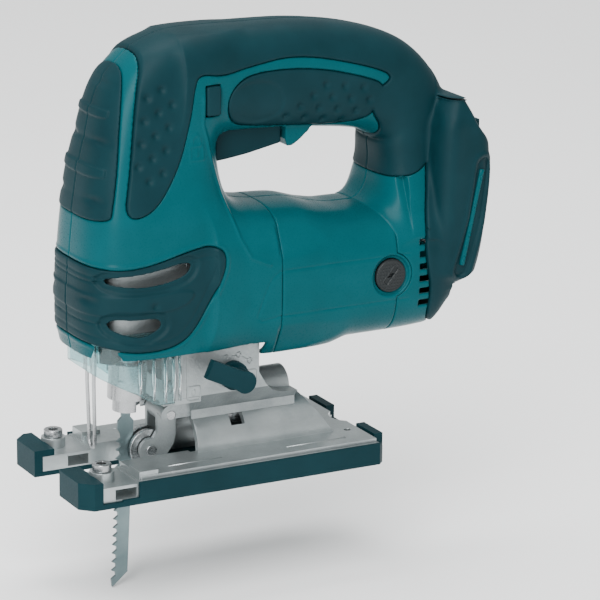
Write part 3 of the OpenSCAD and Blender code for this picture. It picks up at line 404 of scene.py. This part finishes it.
MIDDLE = [
    [26, 84.6, 90, 70, BODY_W + 1, 3.1], [40, 84.3, 90, 69.2, BODY_W + 0.6, 3.1],
    [55, 83, 90, 64.4, BODY_W, 3], [66, 83.6, 90, 59.8, BODY_W, 3], [84, 83.6, 90, 59.6, BODY_W, 3]]
REAR_BARREL = [
    [84, 83.6, 90, 59.6, BODY_W, 3], [104, 84, 90, 58.6, BODY_W, 3], [112, 88, 90, 48, BODY_W - 2, 3.4]]
BARREL = FRONT_BARREL + MIDDLE[1:] + REAR_BARREL[1:]

WINDOW_BAND = [[-80, 106], [-56, 101], [-38, 102.4], [-14, 108.5], [-5, 108], [-1.5, 102.5], [-5, 92],
               [-16, 73], [-24, 66.6], [-37, 64.6], [-52, 66], [-80, 74]]
WINDOWS = [[[-56.5, 98], [-38, 99.4], [-21, 102.6], [-17.6, 101.6], [-21, 96.4], [-37, 93.4], [-54, 95]],
           [[-54.5, 80], [-44, 79.2], [-34, 79.6], [-31.5, 76], [-38, 72.2], [-44, 71.6], [-54.5, 75.6]]]
NOSE_GRIP = [[-80, 122], [-53.2, 122], [-52, 127], [-49.4, 141], [-44.5, 174], [-40.1, 187], [-38.4, 194],
             [-38.2, 210], [-80, 210]]
SIDE_GRIP = [[-47.7, 122.6], [-44.1, 141], [-39.1, 174], [-34.4, 187.5], [-33, 194], [-32.8, 210], [80, 210],
             [104, 192], [124, 170], [112, 152], [108, 138], [99, 128], [86, 126], [80, 126], [82, 142],
             [84, 148], [76, 158], [78, 166], [88, 172], [74, 178], [40, 186], [16, 183], [2, 180],
             [-10, 182.5], [-13, 178], [-16, 160], [-22, 143], [-34, 126]]
HANDLE_PANEL = [[4, 168], [7, 159], [15, 156], [34, 154], [60, 152], [77, 154], [84, 168], [72, 173],
                [48, 179], [22, 180], [10, 177]]
BAY_BAND = [[101, 78], [101, 56], [136, 56], [138, 186], [112, 180], [108, 160], [104.5, 146], [101, 120],
            [98, 98], [99.5, 84]]
RAISED = [[[-90, 163.8], [-50.4, 163.8], [-48.6, 169.8], [-90, 169.8]],
          [[-90, 139.4], [-54.2, 139.4], [-52.8, 145.8], [-90, 145.8]]]

barrel = mass(BARREL)
nose = mass(NOSE)
handle = mass(HANDLE)
bay = mass(BAY)
bay_corner = region([[113, 168], [119, 156], [122.4, 147], [134, 137], [146, 137], [146, 190], [113, 190]], 2)
bay = cut(bay, up3(bay_corner), 2)
body = join(join(nose, barrel, 9), handle, 9)
body = join(body, bay, 3)
# a loft's field is steeper or flatter than a true distance where it tapers
body = body / np.clip(np.sqrt(sum(g * g for g in np.gradient(body, STEP))), 0.5, 1.6)
body = meet(body, up3(Z2 - BODY_TOP), 2)
# flat upper and lower faces along the motor, with a crease at their edges
side = -Y3
upper_face = side + 0.44 * up3(Z2 - 98) - FACET
lower_face = side + 0.5 * up3(70 - Z2) - FACET
along_motor = np.clip(np.minimum((X2 - 20) / 5, (97 - X2) / 5), 0, 1)
facet = meet(upper_face, lower_face, 0.1) * 0.92
facet = np.where(up3(Z2 > 126), -50, facet) - 14 * (1 - up3(along_motor))
body = meet(body, facet, 0.3)
barrel = meet(barrel, facet, 0.3)
shell = meet(body, -(body + WALL), 0.3)

side_grip, handle_panel = region(SIDE_GRIP), region(HANDLE_PANEL)
nose_grip, band, bay_band = region(NOSE_GRIP), region(WINDOW_BAND), region(BAY_BAND)
windows = [region(w, 2) for w in WINDOWS]
half = Y3 + HALF_SEAM


def moulded(area, proud, relief=0.0, edge=1.0):
    """Soft skin over the body inside a side-view area, its edge rolled over."""
    top = body - proud + up3(relief) if not np.isscalar(relief) else body - proud + relief
    return meet(meet(top, up3(area), edge), -(body + SKIN_DEPTH), 0.3)


def step_in(distance, depth, width=0.8):
    """A ledge: depth inside an area, nothing outside it."""
    return depth * np.clip(0.5 - distance / width, 0, 1)


def ridge(points, width, height, closed=False):
    return -dip(line(points, closed), width, height)


# three leaning columns of dots on the side grip: column, first row, row after the last
SIDE_COLUMNS = ((-1, 1, 5), (0, 0, 5), (1, 0, 4))
side_dots = [(-28 - 6.5 * column - 2 * row, 177 - 3 * column - 9.5 * row)
             for column, first, end in SIDE_COLUMNS for row in range(first, end)]
grip_dimples = dimples(side_dots, 3.2, 1.2)
# four rows of dots on the handle, each with one more than the row above
panel_dots = [(52.8 - 6.1 * row + 9.3 * i, 171.4 - 4.3 * row - 1.5 * i)
              for row in range(4) for i in range(3 + row)]
pad = region([[3.6, 168], [8, 174], [19, 176.6], [29, 174], [33, 166], [30, 159], [20, 157], [9, 160]])
panel_relief = dimples(panel_dots, 3.0, 1.0) + step_in(pad, 0.55, 1.6)
nose_dots = [(-47.5 - 4.5 * i, 179 - 24.3 * i) for i in range(3)]
nose_relief = dimples(nose_dots, 3.4, 1.2)
for shape in RAISED:
    nose_relief = nose_relief - step_in(region(shape, 1), 0.75, 0.7)
nose_relief = nose_relief + dip(np.abs(Z2 - 176.5) + 9 * (X2 > -50), 0.7, 0.25)

channel = line([(125.2, 131), (121.6, 107), (115, 84)])
bay_ridge = line([(110, 152), (106, 125), (103.6, 100), (105, 84)])
bay_relief = step_in(channel - 3.4, 1.35, 0.9) - dip(bay_ridge, 11, 0.9) - dip(channel - 5.2, 1.6, 0.5)

skins = [moulded(side_grip, 0.7, grip_dimples), moulded(handle_panel, 0.7, panel_relief),
         moulded(nose_grip, 0.7, nose_relief), moulded(bay_band, 0.9, bay_relief)]
grip = skins[0]
for s in skins[1:]:
    grip = np.minimum(grip, s)

sunken = np.minimum(windows[0], windows[1])
ledge = region([[-90, 82], [-50, 81.6], [-24, 82.4], [-16, 88], [-20, 91.4], [-50, 90], [-90, 92.4]], 2)
band_relief = step_in(sunken - 3.4, 1.3, 1.6) - step_in(ledge, 0.55, 0.7) + dip(band + 3.8, 1.0, 0.3)
bar_dots = [(-48 + 12.5 * end, 86.4 - 1.2 * end) for end in (-1, 1)]
band_relief = band_relief + dimples(bar_dots, 3.2, 1.1)
for z in (78, 96):
    band_relief = band_relief + dip(np.abs(Z2 - z) + 9 * (X2 > -52), 0.8, 0.4)
frame_band = moulded(band, 0.8, band_relief)
for w in windows:
    frame_band = cut(frame_band, up3(w), 0.6)

padlock = ridge([(-16, 151.8), (-9.2, 151.6), (-9.2, 145.6), (-16, 145.9)], 0.8, 0.3, True)
shackle = [(-14.8, 152), (-14.6, 155), (-12.6, 156.6), (-10.7, 155), (-10.4, 152)]
keyhole = [(-12.6, 149.6), (-12.6, 147.6)]
for stroke in (shackle, keyhole):
    padlock = np.minimum(padlock, ridge(stroke, 0.8, 0.3))
panel_edge = [(90, 93.4), (25, 93.4), (21, 90.5), (17, 82), (14, 73.4), (16.5, 71.6), (25, 73), (90, 73)]
panel_line = dip(line(panel_edge), 0.8, 0.35)
handle_foot = [(-8.6, 172), (-8.8, 160), (-6.6, 154), (-5, 147), (0, 130), (6, 110), (11, 101), (20, 97)]
handle_edge = ridge(handle_foot, 1.4, 0.5)
brush_gap = np.hypot(X2 - BRUSH[0], Z2 - BRUSH[1])
shell = shell + up3(padlock + np.where(brush_gap > 10, panel_line, 0) + handle_edge)
shell = shell - 0.35 * up3(np.exp(-(np.abs(band - 1.6) / 0.7) ** 2))
lug_side = region([[37.4, 157], [37.4, 143.6], [41.5, 143.6], [51, 151.4], [51, 157]], 1)
lug = np.maximum(up3(lug_side), -Y3 - 11)
shell = join(shell, lug, 1)

housing = shell
for area in (side_grip, handle_panel, nose_grip, band, bay_band):
    housing = cut(housing, np.maximum(up3(area - 0.35), -(body + 1.3)), 0.3)
for w in windows:
    housing = cut(housing, up3(w - 1.0), 0.3)
for i in range(VENTS["count"]):
    z = VENTS["first"] + i * VENTS["step"]
    housing = cut(housing, box3((95.5, -60, z), (104 - (i % 3), -25, z + VENTS["height"])), 0.6)
motor_area = np.maximum(np.maximum(MOTOR_X[0] - X2, X2 - MOTOR_X[1]), Z2 - 128)
motor_area = np.minimum(motor_area, brush_gap - 10.5)
housing = cut(housing, np.maximum(up3(motor_area), -(handle - 6)), 0.3)
housing = cut(housing, np.minimum(box3(*GEAR_BAY), box3(*FOOT_CUT)), 0.4)
for way in (TRIGGER_WELL, BUTTON_WAY, BAY_MOUTH):
    housing = cut(housing, box3(*way), 0.5)
for way in (BAY_MOUTH, TRIGGER_WELL):
    grip = cut(grip, box3(*way), 0.5)

motor = barrel + up3(np.where(brush_gap > 10, panel_line, 0) + step_in(brush_gap - 9.2, 1.5, 0.8))
motor = meet(motor, up3(motor_area + 0.12), 0.5)
motor = meet(motor, -(barrel + WALL), 0.3)
motor = cut(motor, up3(brush_gap - 7.6), 0.5)

for side, mirror in (("left", False), ("right", True)):
    shell_piece("shell_" + side, np.maximum(housing, half), "housing_" + side, TEAL, mirror)
    shell_piece("soft_skin_" + side, np.maximum(grip, half), "grip_" + side, GRIP, mirror)
    shell_piece("nose_band_" + side, np.maximum(frame_band, half), "window_frame_" + side, GRIP, mirror)
shell_piece("motor_barrel_left", np.maximum(motor, Y3), "motor_housing", TEAL)
other = mesh_of("motor_barrel_right", np.maximum(motor, Y3), True)
dress(other, TEAL)
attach(other, BODY)

# ---------------------------------------------------------------- small pieces


def mesh_piece(name, points, faces, body, slot, mat, smooth=True):
    mesh = bpy.data.meshes.new(name)
    mesh.from_pydata([tuple(c * MM for c in p) for p in points], [], faces)
    mesh.polygons.foreach_set("use_smooth", [smooth] * len(mesh.polygons))
    mesh.update()
    obj = bpy.data.objects.new(name, mesh)
    bpy.context.scene.collection.objects.link(obj)
    dress(obj, mat)
    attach(obj, body)
    return obj


def bead(path, r, sides=8, closed=False):
    """Points and faces of a round bead along a path."""
    path = [Vector(p) for p in path]
    n, points, faces = len(path), [], []
    for i, p in enumerate(path):
        if closed:
            d = path[(i + 1) % n] - path[i - 1]
        else:
            d = path[min(i + 1, n - 1)] - path[max(i - 1, 0)]
        d.normalize()
        side = d.cross(Vector((0, 1, 0)) if abs(d.y) < 0.9 else Vector((1, 0, 0))).normalized()
        up = side.cross(d)
        for k in range(sides):
            a = 2 * math.pi * k / sides
            points.append(p + r * (math.cos(a) * side + math.sin(a) * up))
    for i in range(n if closed else n - 1):
        for k in range(sides):
            a, b = i * sides + k, i * sides + (k + 1) % sides
            c, d2 = ((i + 1) % n) * sides + (k + 1) % sides, ((i + 1) % n) * sides + k
            faces.append((a, b, c, d2))
    if not closed:
        faces += [tuple(range(sides))[::-1], tuple((n - 1) * sides + k for k in range(sides))]
    return points, faces


def together(parts):
    points, faces = [], []
    for p, f in parts:
        faces += [tuple(i + len(points) for i in face) for face in f]
        points += p
    return points, faces


def square(x, z, y, half, corner=1.2):
    """Path of a rounded square on a face at y."""
    path = []
    for cx, cz, start in ((1, 1, 0), (-1, 1, 90), (-1, -1, 180), (1, -1, 270)):
        for a in (0, 30, 60, 90):
            t = math.radians(start + a)
            path.append((x + cx * (half - corner) + corner * math.cos(t), y,
                         z + cz * (half - corner) + corner * math.sin(t)))
    return path


def knurled_cap(side):
    """Face of a brush cap: a fine diamond grid with a slanted slot for a screwdriver."""
    n, r = (84), 7.3
    slant = math.radians(50)
    base = -30.15
    points, faces, index = [], [], {}
    for i in range(n + 1):
        for k in range(n + 1):
            u, v = (2 * i / n - 1) * r, (2 * k / n - 1) * r
            d = math.hypot(u, v)
            if d > r + 2 * r / n:
                continue
            if d > r - 0.05:
                u, v = u * (r - 0.05) / d, v * (r - 0.05) / d
            along = u * math.cos(slant) + v * math.sin(slant)
            across = -u * math.sin(slant) + v * math.cos(slant)
            grid = 0.22 * max(0, math.sin(u * 4.4)) * max(0, math.sin(v * 4.4)) if d < r - 0.9 else 0.12
            lip = 0.35 * max(0, 1 - abs(abs(across) - 1.5) / 0.5) if abs(along) < 4.4 else 0
            slot = 1.3 * min(1, max(0, (0.9 - abs(across)) / 0.3)) if abs(along) < 4.2 else 0
            index[i, k] = len(points)
            y = base - (0.35 + grid + lip - slot) * (1 if d < r - 0.2 else 0)
            points.append((BRUSH[0] + u, side * y * -1, BRUSH[1] + v))
    for i in range(n):
        for k in range(n):
            q = [(i, k), (i + 1, k), (i + 1, k + 1), (i, k + 1)]
            if all(c in index for c in q):
                f = tuple(index[c] for c in q)
                faces.append(f if side < 0 else f[::-1])
    return points, faces


mesh_piece("brush_cap_faces", *together([knurled_cap(-1), knurled_cap(1)]), BODY, "black", BLACK)



def on_strip(t):
    """Place along the teal strip in the battery bay's channel, from its top (0) to its foot (1)."""
    return 124.6 - 9.2 * t, 129 - 43 * t


for name, sign in (("left", -1), ("right", 1)):
    track = [(x, sign * 33.1, z) for x, z in [on_strip(i / 24) for i in range(25)]]
    strip = bead(track, 1.3, 10)
    bumps = []
    for t in (0.08, 0.38, 0.68, 0.93):
        x, z = on_strip(t)
        bump_path = [(x, sign * 33.8, z - 0.9), (x, sign * 34.1, z), (x, sign * 33.8, z + 0.9)]
        bumps.append(bead(bump_path, 0.7, 10))
    mesh_piece("bay_strip_" + name, *together([strip] + bumps), BODY, "teal", TEAL)

CAST_FACE = -22.05       # the left face of the gear housing, where the marks of the dial are cast
DIAL = ((3.1, 54.8), (9.5, 55.3), (14.9, 51.8))


def oval(x, z, rx, rz):
    """Path of an oval on the cast face."""
    angles = [k * math.pi / 8 for k in range(16)]
    return [(x + rx * math.cos(a), CAST_FACE, z + rz * math.sin(a)) for a in angles]


marks = [bead(square(x, z, CAST_FACE, 3.2), 0.28, 6, True) for x, z in ((-12.4, 40.6), (15.2, 44.4))]
marks.append(bead(oval(-12.4, 40.6, 0.9, 1.5), 0.22, 6, True))
for x in (14, 15.2, 16.4):
    marks.append(bead([(x, CAST_FACE, 42.9), (x, CAST_FACE, 45.9)], 0.24, 6))
for x, z in DIAL:
    marks.append(bead(oval(x, z, 1.1, 1.1), 0.3, 6, True))
for (x0, z0), (x1, z1) in (((4.2, 54.9), (8.4, 55.2)), ((10.4, 54.8), (14, 52.4))):
    marks.append(bead([(x0, CAST_FACE, z0), (x1, CAST_FACE, z1)], 0.2, 6))
mesh_piece("casting_marks", *together(marks), BODY, "casting", CASTING)

ribs = []
for sign in (-1, 1):
    for x, low in ((-20.6, 39.5), (-23.4, 39.5), (-27.5, 39.5), (-33, 41), (-39.5, 45)):
        rib = [(x, sign * 25.0, low), (x - 0.15, sign * 25.05, 52), (x - 0.3, sign * 25.0, 65.5)]
        ribs.append(bead(rib, 0.75, 8))
mesh_piece("cover_ribs", *together(ribs), "front_cover", "clear", CLEAR)

scribed = []
for sign in (-1, 1):
    for x0, x1 in ((-28, -2), (30, 60)):
        scribed.append(bead([(x0, sign * 28.4, 11.45), (x1, sign * 28.4, 11.45)], 0.28, 6))
        scribed.append(bead([(x1, sign * 28.4, 11.45), (x1, sign * 27.2, 11.45)], 0.28, 6))
mesh_piece("base_scale_marks", *together(scribed), "base", "casting", BASE_METAL)

# ---------------------------------------------------------------- the rest of the CAD nodes

REFINED = {"gear_housing": 0.5, "gear_cover": 0.4, "base_plate": 0.5, "cover_plate": 0.6, "change_lever": 1.0,
           "trigger": 1.2, "lock_off_button": 1.2, "clamp_sleeve": 0.5, "clamp_collar": 0.4,
           "retainer_arm": 0.5, "guide_roller": 0.3, "rule_screws": 0.4, "tool_opener": 0.6,
           "brush_caps": 0.5, "battery_rails": 0.4, "battery_terminal": 0.3, "dust_cover": 0.25,
           "retainer_pin": 0.3, "roller_axle": 0.3,
           "lever_shaft": 0.3, "slider_rod": 0.3, "base_bolt": 0.3, "slide_nut": 0.2, "clamp_plate": 0.2}
MATERIAL_OF = {"base_plate": BASE_METAL, "saw_blade": BLADE, "cover_plate": GRIP}
REPLACED = {"housing_left", "housing_right", "grip_left", "grip_right", "window_frame_left",
            "window_frame_right", "motor_housing"}
for node, obj in frame["nodes"].items():
    if node in REPLACED:
        continue
    mat = MATERIAL_OF.get(node, SLOT_OF[NODE_SLOT[node]])
    if node in REFINED:
        refine(node, REFINED[node], mat)
    else:
        dress(obj, mat)

# ---------------------------------------------------------------- stage, lights and camera


def camera():
    azimuth, elevation, roll = map(math.radians, (-27.83, 15.38, 0.52))
    target = Vector((37, -0.03, 90)) * MM
    back = Vector((math.sin(azimuth) * math.cos(elevation), -math.cos(azimuth) * math.cos(elevation),
                   math.sin(elevation)))
    right = Vector((math.cos(azimuth), math.sin(azimuth), 0))
    up = back.cross(right)
    across = math.cos(roll) * right + math.sin(roll) * up
    upward = -math.sin(roll) * right + math.cos(roll) * up
    data = bpy.data.cameras.new("camera")
    data.sensor_width = 36
    data.lens = 189.57
    data.shift_x, data.shift_y = 0.0467, -0.0688
    data.clip_end = 20
    obj = bpy.data.objects.new("camera", data)
    obj.matrix_world = Matrix.Translation(target + back * 1404.31 * MM) @ Matrix(
        (across, upward, back)).transposed().to_4x4()
    bpy.context.scene.collection.objects.link(obj)
    bpy.context.scene.camera = obj


def light(name, place, size, power, aim=(20, 0, 90)):
    data = bpy.data.lights.new(name, "AREA")
    data.shape = "RECTANGLE"
    data.size, data.size_y = size
    data.energy = power
    obj = bpy.data.objects.new(name, data)
    obj.location = Vector(place) * MM
    obj.rotation_euler = (Vector(aim) - Vector(place)).to_track_quat("-Z", "Y").to_euler()
    bpy.context.scene.collection.objects.link(obj)


def stage():
    mesh = bpy.data.meshes.new("floor")
    r, z = 6.0, (CAD_BOX[0][2] - 0.0006)
    mesh.from_pydata([(-r, -r, z), (r, -r, z), (r, r, z), (-r, r, z)], [], [(0, 1, 2, 3)])
    floor = bpy.data.objects.new("floor", mesh)
    bpy.context.scene.collection.objects.link(floor)
    mat, nodes, links, shader = new_material("pale_floor")
    paper = noise_at(mat, 3, 2.0)
    links.new(ramp(mat, paper.outputs["Fac"], grey(0.90), grey(0.92)), shader.inputs["Base Color"])
    shader.inputs["Roughness"].default_value = 0.9
    dress(floor, mat)
    world = bpy.data.worlds.new("studio")
    world.use_nodes = True
    world.node_tree.nodes["Background"].inputs["Color"].default_value = (0.97, 1, 1, 1)
    world.node_tree.nodes["Background"].inputs["Strength"].default_value = 0.78
    bpy.context.scene.world = world


stage()
sun = bpy.data.lights.new("sun", "SUN")
sun.energy, sun.angle = 3.3, 0.7
sun_obj = bpy.data.objects.new("sun", sun)
sun_obj.rotation_euler = Vector((0.45, 0.62, -1)).to_track_quat("-Z", "Y").to_euler()
bpy.context.scene.collection.objects.link(sun_obj)
light("key", (-700, -700, 500), (0.35, 0.7), 9)
light("top", (50, 200, 1100), (0.8, 0.5), 10)
camera()
